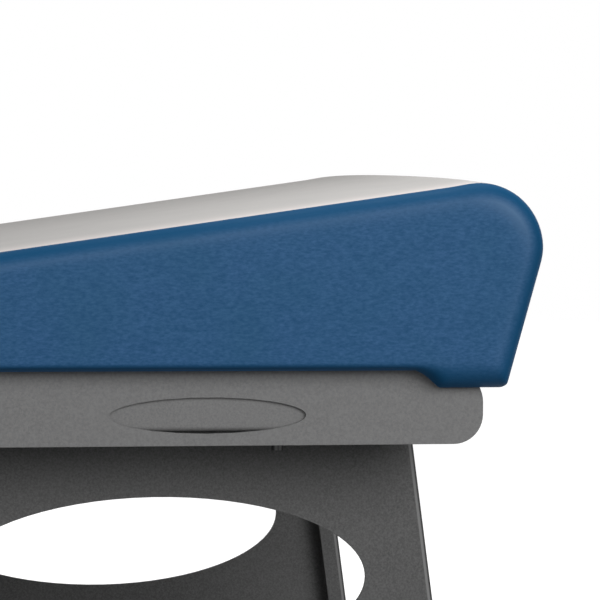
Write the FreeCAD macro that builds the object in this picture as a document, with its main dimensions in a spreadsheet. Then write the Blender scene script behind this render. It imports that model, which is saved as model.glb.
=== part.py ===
"""Medical exam table with a lifting back section, as separate named pieces.

Axes: X along the table with the head end at +X, Y across it, Z up.  The origin
is on the floor under the middle of the table.  Lengths are millimetres and
angles are degrees.  Sizes live in the sheet, and every piece is bound to them.
"""
import FreeCAD, Part
import Sketcher
import os
import re

# Sizes that can be set by themselves.
SIZES = {
    # upholstery
    "half_length": 925.0, "half_width": 350.0, "pad_bottom": 700.0, "pad_height": 80.0,
    "wedge_run": 526.4, "wedge_angle": 8.41, "undercut": 15.4,
    "head_nose": 53.0, "foot_nose": 40.0, "lip_drop": 13.6, "lip_run": 75.0,
    "lip_cove": 30.0, "pad_roll": 12.0, "pad_gap": 4.0, "lip_clear": 3.0,
    "board_thick": 12.0, "board_inset": 10.0, "board_end_inset": 55.0,
    # hinge of the back section
    "hinge_x": 165.0, "shaft_radius": 10.0, "shaft_fit": 0.05,
    "ear_gap": 2.0, "ear_thick": 4.0, "ear_width": 60.0, "ear_foot": 45.0, "ear_drop": 6.0,
    "bush_wall": 3.0, "bush_flange": 1.5, "cap_play": 0.5, "cap_radius": 14.0, "cap_thick": 4.0,
    "lug_thick": 6.0, "lug_width": 25.0, "lug_rim": 6.0, "lug_in": 100.0, "lug_inset": 50.0,
    "ear_bolt_radius": 4.0, "ear_bolt_head": 7.0, "ear_bolt_cap": 3.0,
    "ear_bolt_pitch": 34.0, "ear_bolt_drop": 24.0,
    # top frame
    "rail_inset": 25.0, "rail_thick": 3.0, "rail_short": 42.2, "rail_drop": 61.6,
    "rail_clear": 1.0, "rail_low_corner": 24.0, "rail_top_corner": 27.0,
    "rail_oval_half": 79.4, "rail_oval_rise": 14.5, "rail_oval_from_end": 225.2, "rail_oval_up": 24.3,
    "side_width": 25.0, "side_height": 40.0, "side_short": 12.8, "side_wall": 2.0,
    "frame_drop": 50.0, "plug_flange": 3.0, "plug_depth": 12.0,
    "cross_width": 40.0, "cross_height": 20.0, "cross_wall": 2.0,
    "cross_out": 93.4, "cross_in": 169.5, "cross_from_hinge": 295.0,
    # pedestals
    "pedestal_inset": 295.5, "plate_inset": 118.0, "plate_depth": 25.0, "plate_sheet": 3.0,
    "plate_return": 18.0, "plate_bend": 5.5, "plate_top_half": 214.0, "plate_lean": 7.9,
    "top_cap_inset": 60.0, "top_cap_thick": 6.0,
    "oval_web": 56.0, "oval_rise": 69.0, "oval_drop": 125.7, "oval_pitch": 178.2,
    # floor frame
    "runner_past": 2.0, "runner_in": 12.0, "runner_width": 60.0, "runner_height": 30.0,
    "runner_bottom": 30.0, "runner_wall": 2.0, "runner_cap": 3.0,
    "foot_inset": 47.0, "foot_radius": 25.0, "foot_pad": 12.0, "stud_radius": 5.0,
    "stud_top": 55.0, "stud_fit": 0.05, "insert_radius": 9.0, "insert_height": 14.0,
    "stud_nut_across": 17.0, "stud_nut_height": 8.0,
    # bolts of the top frame
    "bolt_radius": 5.0, "bolt_edge": 20.0, "bolt_across": 17.0, "bolt_head": 6.4,
    "bolt_past": 14.5, "nut_height": 8.0, "bolt_clear": 0.5,
    # back and seat supports
    "bearer_inset": 170.0, "bearer_width": 20.0, "back_tube_wall": 1.5, "back_tube_short": 95.0,
    "rest_gap": 0.3, "buffer_radius": 15.0,
    "screw_radius": 3.0, "screw_head": 5.5, "screw_head_height": 2.5, "screw_bite": 8.0,
    "screw_clear": 0.3, "back_cross_back": 40.0, "back_cross_pitch": 170.0,
    # lockable gas spring
    "spring_foot_out": 40.0, "spring_head_out": 305.0, "spring_up": 30.0,
    "eye_radius": 9.0, "eye_half": 5.0, "pin_radius": 4.0, "pin_fit": 0.05,
    "barrel_radius": 11.0, "barrel_bore": 9.0, "barrel_start": 22.0, "barrel_length": 143.0,
    "barrel_end": 8.0, "spring_rod_radius": 4.0, "piston_radius": 8.9, "piston_length": 10.0,
    "rod_tail": 60.0, "bracket_gap": 0.3, "bracket_thick": 4.0, "bracket_width": 30.0,
    "bracket_clear": 1.5,
    # release of the gas spring
    "paddle_out": 22.0, "paddle_drop": 10.0, "paddle_hub": 7.0, "paddle_half": 29.5,
    "paddle_reach": 60.0, "paddle_thick": 4.0, "paddle_bracket": 22.0,
    "release_radius": 3.0, "release_up": 4.0, "release_from_pin": 16.0, "release_gap": 0.3,
}

# Sizes and places that follow from them.
FOLLOWS = {
    "pad_top": "pad_bottom + pad_height", "hinge_z": "pad_bottom + pad_height / 2",
    "board_top": "pad_bottom + board_thick", "lip_bottom": "pad_bottom - lip_drop",
    "wedge_start": "half_length - wedge_run", "seat_end": "hinge_x - pad_height / 2 - pad_gap",
    "shaft_half": "half_width + ear_gap + ear_thick + bush_flange + cap_play",
    "lug_out": "half_width - lug_inset",
    "ear_inner": "half_width + ear_gap", "ear_outer": "ear_inner + ear_thick",
    "ear_step": "pad_bottom - ear_drop - ear_thick",
    "ear_bolt_z": "pad_bottom - ear_drop - ear_bolt_drop", "bush_radius": "shaft_radius + bush_wall",
    "rail_face": "half_width - rail_inset", "rail_end": "half_length - rail_short",
    "rail_bottom": "pad_bottom - rail_drop", "rail_oval_x": "rail_end - rail_oval_from_end",
    "rail_oval_z": "rail_bottom + rail_oval_up", "side_end": "rail_end - side_short",
    "side_y": "rail_face - rail_thick - side_width / 2", "cross_length": "2 * (side_y - side_width / 2)",
    "frame_bottom": "pad_bottom - frame_drop", "cross_top": "frame_bottom + cross_height",
    "cap_bottom": "frame_bottom - top_cap_thick",
    "pedestal_x": "half_length - pedestal_inset", "cross_outer": "pedestal_x + cross_out",
    "cross_inner": "pedestal_x - cross_in", "cross_middle": "hinge_x - cross_from_hinge",
    "plate_face": "half_width - plate_inset", "top_cap_half": "half_width - top_cap_inset",
    "bolt_y": "top_cap_half - bolt_edge", "bolt_end": "cap_bottom - bolt_past",
    "runner_top": "runner_bottom + runner_height", "plate_height": "cap_bottom - runner_top",
    "plate_foot_half": "plate_top_half + plate_height * tan(plate_lean)",
    "runner_half": "half_length + runner_past", "runner_y": "plate_face - runner_in",
    "foot_x": "runner_half - foot_inset", "bearer_y": "half_width - bearer_inset",
    "back_tube_start": "hinge_x + lug_width", "back_tube_end": "half_length - back_tube_short",
    "back_tube_bottom": "pad_bottom - bearer_width",
    "back_cross_far": "back_tube_end - back_cross_back",
    "back_cross_near": "back_cross_far - back_cross_pitch",
    "seat_board_start": "board_end_inset - half_length", "seat_board_end": "seat_end - board_inset",
    "seat_bearer_start": "seat_board_start + bearer_width", "seat_bearer_end": "seat_end - bearer_width",
    "spring_foot_x": "hinge_x + spring_foot_out", "spring_head_x": "hinge_x + spring_head_out",
    "spring_z": "frame_bottom + spring_up", "spring_length": "spring_head_out - spring_foot_out",
    "barrel_stop": "barrel_start + barrel_length",
    "bracket_y": "eye_half + bracket_gap + bracket_thick / 2",
    "bracket_drop": "pad_bottom - cross_top - bracket_clear",
    "paddle_x": "back_cross_far + paddle_out", "paddle_z": "pad_bottom - paddle_drop",
    "paddle_face": "paddle_x - paddle_hub + release_gap",
    "paddle_side": "paddle_half + release_gap + bracket_thick / 2",
    "paddle_start": "back_cross_far + bearer_width / 2",
    "release_z": "paddle_z + release_up", "release_start": "spring_head_x + release_from_pin",
    "release_end": "paddle_face - release_gap",
    # nose and lip of the head end
    "head_centre_x": "half_length - head_nose",
    "head_centre_z": "pad_top + (head_centre_x - wedge_start) * tan(wedge_angle)"
                     " - head_nose / cos(wedge_angle)",
    "head_run": "head_nose * (1 / cos(undercut) + tan(undercut) / cos(wedge_angle))"
                " / (1 - tan(wedge_angle) * tan(undercut))",
    "head_corner_x": "head_centre_x + head_run",
    "head_corner_z": "pad_top + (head_corner_x - wedge_start) * tan(wedge_angle)",
    "head_lip_end": "head_centre_x + head_nose / cos(undercut) + (lip_bottom - head_centre_z) * tan(undercut)",
    "head_lip_start": "head_lip_end - lip_run",
    # nose and lip of the foot end
    "foot_corner_x": "-(half_length - foot_nose + foot_nose * (1 / cos(undercut) + tan(undercut)))",
    "foot_lip_end": "-(half_length - foot_nose + foot_nose / cos(undercut)"
                    " + (foot_nose - pad_height - lip_drop) * tan(undercut))",
    "foot_lip_start": "foot_lip_end + lip_run",
}

doc = FreeCAD.newDocument("ExamTable")
sheet = doc.addObject("Spreadsheet::Sheet", "Sizes")
for row, (alias, value) in enumerate(SIZES.items(), start=1):
    sheet.set("A%d" % row, alias)
    sheet.set("B%d" % row, str(value))
    sheet.setAlias("B%d" % row, alias)
doc.recompute()

pieces = {}      # node name -> document object


# ---------------------------------------------------------------- helpers
def linked(size):
    """Turn a size written with the words above into an expression on the sheet's cells."""
    def spelled(word):
        name = word.group()
        if name in FOLLOWS:
            return "(" + linked(FOLLOWS[name]) + ")"
        return "Sizes." + name if name in SIZES else name
    return re.sub(r"[a-z]\w*", spelled, str(size))


def bind(thing, **sizes):
    for name, size in sizes.items():
        thing.setExpression(name, linked(size))


def place(thing, x, y, z):
    for axis, size in (("x", x), ("y", y), ("z", z)):
        thing.setExpression("Placement.Base." + axis, linked(size))


def box(name, length, width, height, at):
    """A block with its middle at X, Y and its bottom at Z."""
    block = doc.addObject("Part::Box", name)
    bind(block, Length=length, Width=width, Height=height)
    place(block, "%s - (%s)/2" % (at[0], length), "%s - (%s)/2" % (at[1], width), at[2])
    return block


TURNS = {"Z": FreeCAD.Rotation(), "X": FreeCAD.Rotation(FreeCAD.Vector(0, 1, 0), 90),
         "Y": FreeCAD.Rotation(FreeCAD.Vector(1, 0, 0), -90)}


def bar(name, radius, length, at, axis="Z"):
    """A round bar centred on its place along X or Y, or standing on it along Z."""
    round_bar = doc.addObject("Part::Cylinder", name)
    round_bar.Placement = FreeCAD.Placement(FreeCAD.Vector(), TURNS[axis])
    bind(round_bar, Radius=radius, Height=length)
    x, y, z = at
    if axis == "X":
        x = "%s - (%s)/2" % (x, length)
    if axis == "Y":
        y = "%s - (%s)/2" % (y, length)
    place(round_bar, x, y, z)
    return round_bar


def hexagon(name, across, height, at):
    prism = doc.addObject("Part::Prism", name)
    prism.Polygon = 6
    bind(prism, Circumradius="%s / 2 / cos(30)" % across, Height=height)
    place(prism, *at)
    return prism


def join(name, things):
    fused = doc.addObject("Part::MultiFuse", name)
    fused.Shapes = things
    return fused


def cut(name, base, tools):
    result = doc.addObject("Part::Cut", name)
    result.Base = base
    result.Tool = tools[0] if len(tools) == 1 else join(name + "Tools", tools)
    return result


def group(name, things):
    """Separate solids that share one node."""
    compound = doc.addObject("Part::Compound", name)
    compound.Links = things
    return compound


def piece(node, thing):
    thing.Label = node
    pieces[node] = thing
    return thing


def tube(name, length, width, height, wall, at, along):
    """A rectangular tube, open at both ends, along X or Y."""
    outer = box(name + "Outer", length, width, height, at)
    inner = [length, width, height]
    for index in range(3):
        inner[index] = "%s - 2*%s" % (inner[index], wall)
    open_side = "XY".index(along)
    inner[open_side] = (length, width)[open_side] + " + 2"
    hollow = box(name + "Hollow", *inner, (at[0], at[1], "%s + %s" % (at[2], wall)))
    return cut(name, outer, [hollow])


def oval(name, half, rise, x, y, z, depth):
    """A cutter with an oval section, along Y and centred on its place."""
    ellipse = doc.addObject("Part::Ellipse", name + "Line")
    turn = FreeCAD.Rotation(FreeCAD.Vector(1, 0, 0), 90)
    ellipse.Placement = FreeCAD.Placement(FreeCAD.Vector(), turn)
    bind(ellipse, MajorRadius=half, MinorRadius=rise)
    place(ellipse, x, y, z)
    cutter = doc.addObject("Part::Extrusion", name)
    cutter.Base = ellipse
    cutter.DirMode = "Custom"
    cutter.Dir = FreeCAD.Vector(0, 1, 0)
    cutter.Solid = True
    bind(cutter, LengthFwd="%s / 2" % depth, LengthRev="%s / 2" % depth)
    return cutter


def profile(name, corners, width, y):
    """A body whose side view is a polygon, padded across the table about y."""
    body = doc.addObject("PartDesign::Body", name)
    sketch = body.newObject("Sketcher::SketchObject", name + "Sketch")
    side_plane = [f for f in body.Origin.OriginFeatures if f.Role == "XZ_Plane"][0]
    sketch.AttachmentSupport = [(side_plane, "")]
    sketch.MapMode = "FlatFace"
    count = len(corners)
    circle = Part.makeCircle(SIZES["half_width"])
    rough = circle.discretize(count + 1)[:count]
    for index in range(count):
        sketch.addGeometry(Part.LineSegment(rough[index], rough[(index + 1) % count]))
    for index in range(count):
        sketch.addConstraint(Sketcher.Constraint("Coincident", index, 2, (index + 1) % count, 1))
    for index, (x, z) in enumerate(corners):
        for kind, start, size in (("DistanceX", rough[index].x, x), ("DistanceY", rough[index].y, z)):
            row = sketch.addConstraint(Sketcher.Constraint(kind, -1, 1, index, 1, start))
            sketch.setExpression("Constraints[%d]" % row, linked(size))
    pad = body.newObject("PartDesign::Pad", name + "Pad")
    pad.Profile = sketch
    bind(pad, Length=width)
    place(body, 0, "%s + (%s)/2" % (y, width), 0)
    doc.recompute()
    return body


def cross_edges(shape, keep):
    """Names of the straight edges along Y whose place passes the test."""
    names = []
    for index, edge in enumerate(shape.Edges, start=1):
        ends = [vertex.Point for vertex in edge.Vertexes]
        if len(ends) == 2 and abs(ends[0].x - ends[1].x) + abs(ends[0].z - ends[1].z) < 1e-6:
            if keep(ends[0].x, ends[0].z):
                names.append("Edge%d" % index)
    return names


def rounded(body, name, radius, keep):
    """Round the edges along Y of a body that pass the test."""
    base = body.Tip
    names = cross_edges(base.Shape, keep)
    fillet = body.newObject("PartDesign::Fillet", name)
    fillet.Base = (base, names)
    bind(fillet, Radius=radius)
    doc.recompute()
    return fillet


SIDES = (("front", -1), ("rear", 1))
ENDS = (("head", 1), ("foot", -1))


# -------------------------------------------------------------- upholstery
def rolled(name, thing):
    """Soften the long edges of a cushion where its top and end meet its sides."""
    doc.recompute()
    side = SIZES["half_width"]
    low = SIZES["pad_bottom"] + 1
    roll = SIZES["pad_roll"]
    edges = []
    for index, edge in enumerate(thing.Shape.Edges, start=1):
        middle = edge.valueAt((edge.FirstParameter + edge.LastParameter) / 2)
        points = [vertex.Point for vertex in edge.Vertexes] + [middle]
        upright = abs(points[0].x - points[1].x) < 1e-6
        if all(abs(abs(p.y) - side) < 1e-6 for p in points) and middle.z > low and not upright:
            edges.append((index, roll, roll))
    fillet = doc.addObject("Part::Fillet", name)
    fillet.Base = thing
    fillet.Edges = edges
    return fillet


def lip_tools(name, way, lip_start):
    """Cutters under the lip: its cove, and the room for the rails inside it."""
    cove = bar(name + "Cove", "lip_cove", "2*half_width + 2", (lip_start, 0, "pad_bottom - lip_cove"), "Y")
    length = "(rail_end + pad_gap - (%s) * %d + 1)" % (lip_start, way)
    middle = "%d * (rail_end + pad_gap - %s/2)" % (way, length)
    room = box(name + "Room", length, "2 * (rail_face + lip_clear)", "lip_drop + 1",
               (middle, 0, "lip_bottom - 1"))
    return [cove, room]


def lug_places():
    return ["%d * %s" % (sign, y) for sign in (-1, 1) for y in ("lug_in", "lug_out")]


def lug_form(name, y, spare):
    """A lug that rises from the board and rings the shaft, with some spare round it."""
    thick = "lug_thick + %s" % spare
    post = box(name + "Post", "lug_width", thick, "pad_height/2 - board_thick + %s" % spare,
               ("hinge_x + lug_width/2", y, "board_top"))
    ring = bar(name + "Ring", "shaft_radius + lug_rim + %s/2" % spare, thick, ("hinge_x", y, "hinge_z"), "Y")
    return join(name, [post, ring])


def back_board_block(name):
    return box(name, "half_length - board_end_inset - hinge_x", "2 * (half_width - board_inset)", "board_thick",
               ("(hinge_x + half_length - board_end_inset)/2", 0, "pad_bottom"))


def seat_board_block(name):
    return box(name, "seat_board_end - seat_board_start", "2 * (half_width - board_inset)", "board_thick",
               ("(seat_board_start + seat_board_end)/2", 0, "pad_bottom"))


# back section: bullnose at the hinge, then flat, wedge, nose, lip
back_foam = profile("BackFoam", [
    ("hinge_x", "pad_bottom"), ("hinge_x", "pad_top"), ("wedge_start", "pad_top"),
    ("head_corner_x", "head_corner_z"), ("head_lip_end", "lip_bottom"), ("head_lip_start", "lip_bottom"),
    ("head_lip_start", "pad_bottom")], "2 * half_width", 0)
far_x = back_foam.Shape.BoundBox.XMax
rounded(back_foam, "BackNose", "head_nose", lambda x, z: abs(x - far_x) < 1e-6)
bullnose = bar("BackBullnose", "pad_height / 2", "2*half_width", ("hinge_x", 0, "hinge_z"), "Y")
back_outer = rolled("BackRoll", join("BackForm", [back_foam, bullnose]))
shaft_room = bar("BackShaftRoom", "shaft_radius + rest_gap", "2*half_width + 2", ("hinge_x", 0, "hinge_z"), "Y")
lug_rooms = [lug_form("BackLugRoom%d" % number, y, 1) for number, y in enumerate(lug_places())]
piece("back_cushion", cut("BackCushion", back_outer, [back_board_block("BackBoardRoom"), shaft_room]
                          + lug_rooms + lip_tools("BackLip", 1, "head_lip_start")))

# seat: square end at the hinge, nose and lip at the foot end
seat_foam = profile("SeatFoam", [
    ("seat_end", "pad_bottom"), ("seat_end", "pad_top"), ("foot_corner_x", "pad_top"),
    ("foot_lip_end", "lip_bottom"), ("foot_lip_start", "lip_bottom"), ("foot_lip_start", "pad_bottom")],
    "2 * half_width", 0)
near_x = seat_foam.Shape.BoundBox.XMin
rounded(seat_foam, "SeatNose", "foot_nose", lambda x, z: abs(x - near_x) < 1e-6)
piece("seat_cushion", cut("SeatCushion", rolled("SeatRoll", seat_foam), [seat_board_block("SeatBoardRoom")]
                          + lip_tools("SeatLip", -1, "foot_lip_start")))


# ---------------------------------------------- boards, bearers and screws
def support_screws(node, places, bottom):
    """Pan-head screws up through a bearer into its board."""
    screws = []
    for number, x in enumerate(places):
        for side, sign in SIDES:
            name = "%s%d%s" % (node, number, side)
            y = "%d * bearer_y" % sign
            shank = bar(name + "Shank", "screw_radius", "pad_bottom + screw_bite - %s" % bottom, (x, y, bottom))
            head = bar(name + "Head", "screw_head", "screw_head_height",
                       (x, y, bottom + " - screw_head_height"))
            screws.append(join(name, [shank, head]))
    return piece(node, group(node + "Set", screws))


def screw_holes(name, places, radius, start, depth):
    return [bar("%s%d%s" % (name, number, side), radius, depth, (x, "%d * bearer_y" % sign, start))
            for number, x in enumerate(places) for side, sign in SIDES]


back_screw_places = ["back_tube_start + 2*bearer_width", "(cross_inner + cross_outer)/2",
                     "back_tube_end - bearer_width/2"]
seat_screw_places = ["seat_end - 3*bearer_width", "(cross_middle - cross_inner)/2",
                     "-(cross_inner + cross_outer)/2", "seat_board_start + 3*bearer_width"]
piece("back_board", cut("BackBoard", back_board_block("BackBoardBlank"), screw_holes(
    "BackPilot", back_screw_places, "screw_radius", "pad_bottom - 1", "screw_bite + 1")))
piece("seat_board", cut("SeatBoard", seat_board_block("SeatBoardBlank"), screw_holes(
    "SeatPilot", seat_screw_places, "screw_radius", "pad_bottom - 1", "screw_bite + 1")))

back_sides = [tube("BackTube" + side, "back_tube_end - back_tube_start", "bearer_width", "bearer_width",
                   "back_tube_wall",
                   ("(back_tube_end + back_tube_start)/2", "%d * bearer_y" % sign, "back_tube_bottom"), "X")
              for side, sign in SIDES]
piece("back_tubes", cut("BackTubes", group("BackTubePair", back_sides), screw_holes(
    "BackTubeHole", back_screw_places, "screw_radius + screw_clear", "back_tube_bottom - 1",
    "bearer_width + 2")))
back_crosses = [tube("BackCross%d" % number, "bearer_width", "2*bearer_y - bearer_width", "bearer_width",
                     "back_tube_wall", (x, 0, "back_tube_bottom"), "Y")
                for number, x in enumerate(("back_cross_near", "back_cross_far"))]
release_way = bar("ReleaseWay", "release_radius + screw_clear",
                  "back_cross_far - back_cross_near + 2*bearer_width",
                  ("(back_cross_far + back_cross_near)/2", 0, "release_z"), "X")
piece("back_cross_pieces", cut("BackCrossPieces", group("BackCrossPair", back_crosses), [release_way]))
support_screws("back_screws", back_screw_places, "back_tube_bottom")

bearers = [box("SeatBearer" + side, "seat_bearer_end - seat_bearer_start", "bearer_width",
               "pad_bottom - cross_top",
               ("(seat_bearer_end + seat_bearer_start)/2", "%d * bearer_y" % sign, "cross_top"))
           for side, sign in SIDES]
piece("seat_bearers", cut("SeatBearers", group("SeatBearerPair", bearers), screw_holes(
    "SeatBearerHole", seat_screw_places, "screw_radius + screw_clear", "cross_top - 1",
    "pad_bottom - cross_top + 2")))
support_screws("seat_screws", seat_screw_places, "cross_top")

# ------------------------------------------------------- hinge of the back
piece("pivot_shaft", bar("PivotShaft", "shaft_radius", "2*shaft_half", ("hinge_x", 0, "hinge_z"), "Y"))
piece("pivot_caps", group("PivotCaps", [
    bar("PivotCap" + side, "cap_radius", "cap_thick",
        ("hinge_x", "%d * (shaft_half + cap_thick/2)" % sign, "hinge_z"), "Y") for side, sign in SIDES]))
piece("pivot_lugs", group("PivotLugs", [
    cut("PivotLug%d" % number, lug_form("PivotLugForm%d" % number, y, 0),
        [bar("PivotLugBore%d" % number, "shaft_radius", "2*lug_thick", ("hinge_x", y, "hinge_z"), "Y")])
    for number, y in enumerate(lug_places())]))

ear_bolt_places = [(way, "hinge_x + %d * ear_bolt_pitch/2" % way) for way in (-1, 1)]
bushes, ear_bolts = [], []


def ear_bolt_holes(name, sign):
    return [bar("%s%d%d" % (name, sign, way), "ear_bolt_radius", "4*(rail_thick + side_wall)",
                (x, "%d * rail_face" % sign, "ear_bolt_z"), "Y") for way, x in ear_bolt_places]


def ear(name, sign):
    """A plate bolted to the rail that steps out and rises beside the cushion to hold the bush."""
    middle_y = "%d * (ear_inner + ear_thick/2)" % sign
    foot = box(name + "Foot", "ear_width", "ear_thick", "ear_foot",
               ("hinge_x", "%d * (rail_face + ear_thick/2)" % sign, "ear_step + ear_thick - ear_foot"))
    step = box(name + "Step", "ear_width", "ear_outer - rail_face", "ear_thick",
               ("hinge_x", "%d * (ear_outer + rail_face)/2" % sign, "ear_step"))
    cheek = box(name + "Cheek", "ear_width", "ear_thick", "hinge_z - ear_step",
                ("hinge_x", middle_y, "ear_step"))
    crown = bar(name + "Crown", "ear_width/2", "ear_thick", ("hinge_x", middle_y, "hinge_z"), "Y")
    bore = bar(name + "Bore", "bush_radius", "2*ear_thick", ("hinge_x", middle_y, "hinge_z"), "Y")
    return cut(name, join(name + "Plate", [foot, step, cheek, crown]),
               [bore] + ear_bolt_holes(name + "Hole", sign))


def bush(name, sign):
    middle_y = "%d * (ear_inner + ear_thick/2)" % sign
    sleeve = bar(name + "Sleeve", "bush_radius", "ear_thick", ("hinge_x", middle_y, "hinge_z"), "Y")
    flange = bar(name + "Flange", "cap_radius + bush_flange", "bush_flange",
                 ("hinge_x", "%d * (ear_outer + bush_flange/2)" % sign, "hinge_z"), "Y")
    bore = bar(name + "Bore", "shaft_radius + shaft_fit", "6*ear_thick", ("hinge_x", middle_y, "hinge_z"), "Y")
    return cut(name, join(name + "Form", [sleeve, flange]), [bore])


def ear_bolt(name, x, sign):
    shank = bar(name + "Shank", "ear_bolt_radius", "ear_thick + rail_thick + side_wall",
                (x, "%d * (rail_face + (ear_thick - rail_thick - side_wall)/2)" % sign, "ear_bolt_z"), "Y")
    head = bar(name + "Head", "ear_bolt_head", "ear_bolt_cap",
               (x, "%d * (rail_face + ear_thick + ear_bolt_cap/2)" % sign, "ear_bolt_z"), "Y")
    return join(name, [shank, head])


for side, sign in SIDES:
    piece("hinge_ear_" + side, ear("Ear" + side, sign))
    bushes.append(bush("Bush" + side, sign))
    ear_bolts += [ear_bolt("EarBolt%s%d" % (side, way), x, sign) for way, x in ear_bolt_places]
piece("hinge_bushes", group("HingeBushes", bushes))
piece("ear_bolts", group("EarBolts", ear_bolts))


# --------------------------------------------------------------- top frame
def plug(name, way, end, y, bottom, wide, tall, wall, flange_thick):
    """A push-in end cap for a rectangular tube that ends at the given X."""
    flange = box(name + "Flange", flange_thick, wide, tall,
                 ("%d * (%s + %s/2)" % (way, end, flange_thick), y, bottom))
    stem = box(name + "Stem", "plug_depth", "%s - 2*%s" % (wide, wall), "%s - 2*%s" % (tall, wall),
               ("%d * (%s - plug_depth/2)" % (way, end), y, "%s + %s" % (bottom, wall)))
    return join(name, [flange, stem])


def rail_plate(name, sign):
    y = "%d * (rail_face - rail_thick/2)" % sign
    top = "pad_bottom - rail_clear"
    blank = profile(name + "Blank", [("-rail_end", "rail_bottom"), ("-rail_end", top), ("rail_end", top),
                                     ("rail_end", "rail_bottom")], "rail_thick", y)
    waist = blank.Shape.BoundBox.Center.z
    rounded(blank, name + "Low", "rail_low_corner", lambda x, z: z < waist)
    rounded(blank, name + "Top", "rail_top_corner", lambda x, z: z > blank.Shape.BoundBox.ZMax - 1)
    slots = [oval("%sOval%d" % (name, place_number), "rail_oval_half", "rail_oval_rise",
                  "%d * rail_oval_x" % place_number, y, "rail_oval_z", "4*rail_thick")
             for place_number in (-1, 0, 1)]
    return cut(name, blank, slots + ear_bolt_holes(name + "Hole", sign))


plugs = []
for side, sign in SIDES:
    y = "%d * side_y" % sign
    piece("rail_" + side, rail_plate("Rail" + side, sign))
    side_tube = tube("Side" + side, "2*side_end", "side_width", "side_height", "side_wall",
                     (0, y, "frame_bottom"), "X")
    piece("side_tube_" + side, cut("SideTube" + side, side_tube, ear_bolt_holes("SideHole", sign)))
    plugs += [plug("Plug%s%s" % (side, end), way, "side_end", y, "frame_bottom", "side_width", "side_height",
                   "side_wall", "plug_flange") for end, way in ENDS]
piece("side_tube_plugs", group("SideTubePlugs", plugs))

bolt_places = [(way, "%d * %s" % (way, x), "%d * bolt_y" % sign)
               for end, way in ENDS for x in ("cross_outer", "cross_inner") for side, sign in SIDES]


def bolt_holes(name, places, start, depth):
    return [bar("%s%d" % (name, number), "bolt_radius + bolt_clear", depth, (x, y, start))
            for number, (way, x, y) in enumerate(places)]


cross_places = ["cross_outer", "cross_inner", "cross_middle", "-cross_inner", "-cross_outer"]
crosses = [tube("Cross%d" % number, "cross_width", "cross_length", "cross_height", "cross_wall",
                (x, 0, "frame_bottom"), "Y") for number, x in enumerate(cross_places)]
piece("cross_tubes", cut("CrossTubes", group("CrossTubeSet", crosses), bolt_holes(
    "CrossHole", bolt_places, "frame_bottom - 1", "cross_height + 2")))
piece("hinge_cross_tube", tube("HingeCross", "cross_width", "cross_length", "cross_height", "cross_wall",
                               ("hinge_x", 0, "frame_bottom"), "Y"))

bolts, nuts = [], []
for number, (way, x, y) in enumerate(bolt_places):
    shank = bar("Bolt%dShank" % number, "bolt_radius", "cross_top - bolt_end", (x, y, "bolt_end"))
    head = hexagon("Bolt%dHead" % number, "bolt_across", "bolt_head", (x, y, "cross_top"))
    bolts.append(join("Bolt%d" % number, [shank, head]))
    blank = hexagon("Nut%dBlank" % number, "bolt_across", "nut_height", (x, y, "cap_bottom - nut_height"))
    thread = bar("Nut%dThread" % number, "bolt_radius", "2*nut_height", (x, y, "cap_bottom - 1.5*nut_height"))
    nuts.append(cut("Nut%d" % number, blank, [thread]))
piece("frame_bolts", group("FrameBolts", bolts))
piece("frame_nuts", group("FrameNuts", nuts))
piece("back_buffers", group("BackBuffers", [
    bar("Buffer%s%s" % (x, side), "buffer_radius", "back_tube_bottom - cross_top - rest_gap",
        (x, "%d * bearer_y" % sign, "cross_top"))
    for x in ("cross_inner", "cross_outer") for side, sign in SIDES]))


# --------------------------------------------------------------- pedestals
def leaning(name, x, y, inset, start, end, spare):
    """An upright block that narrows upwards. Its depth runs from start to end towards -Y."""
    wedge = doc.addObject("Part::Wedge", name)
    wedge.Placement = FreeCAD.Placement(FreeCAD.Vector(), FreeCAD.Rotation(FreeCAD.Vector(1, 0, 0), 90))
    foot = "(plate_foot_half - %s + %s * tan(plate_lean))" % (inset, spare)
    top = "(plate_top_half - %s - %s * tan(plate_lean))" % (inset, spare)
    bind(wedge, Xmin="-" + foot, Xmax=foot, X2min="-" + top, X2max=top, Ymin="-%s" % spare,
         Ymax="plate_height + %s" % spare, Zmin=start, Z2min=start, Zmax=end, Z2max=end)
    place(wedge, x, y, "runner_top")
    return wedge


def pedestal_plate(name, x, sign):
    """A folded sheet with oval windows, its leaning edges turned inwards and then back."""
    outermost = "plate_face" if sign > 0 else "plate_depth - plate_face"
    blank = leaning(name + "Blank", x, outermost, 0, 0, "plate_depth", 0)
    doc.recompute()
    bend = SIZES["plate_bend"]
    tall = [index for index, edge in enumerate(blank.Shape.Edges, start=1)
            if abs(edge.Vertexes[0].Z - edge.Vertexes[-1].Z) > 1]
    bent = doc.addObject("Part::Fillet", name + "Bends")
    bent.Base = blank
    bent.Edges = [(index, bend, bend) for index in tall]
    hollow = leaning(name + "Hollow", x, outermost, "plate_sheet / cos(plate_lean)", "plate_sheet",
                     "plate_depth - plate_sheet", 1)
    back_start, back_end = ("plate_depth - plate_sheet - 1", "plate_depth + 1") if sign > 0 else (
        "-1", "plate_sheet + 1")
    opening = leaning(name + "Opening", x, outermost, "plate_return / cos(plate_lean)", back_start, back_end, 1)
    windows = []
    for row in range(3):
        drop = "(oval_drop + %d * oval_pitch)" % row
        half = "plate_top_half + %s * tan(plate_lean) - oval_web" % drop
        windows.append(oval("%sOval%d" % (name, row), half, "oval_rise", x, "%d * plate_face" % sign,
                            "cap_bottom - %s" % drop, "4*plate_depth"))
    return cut(name, bent, [hollow, opening] + windows)


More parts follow.
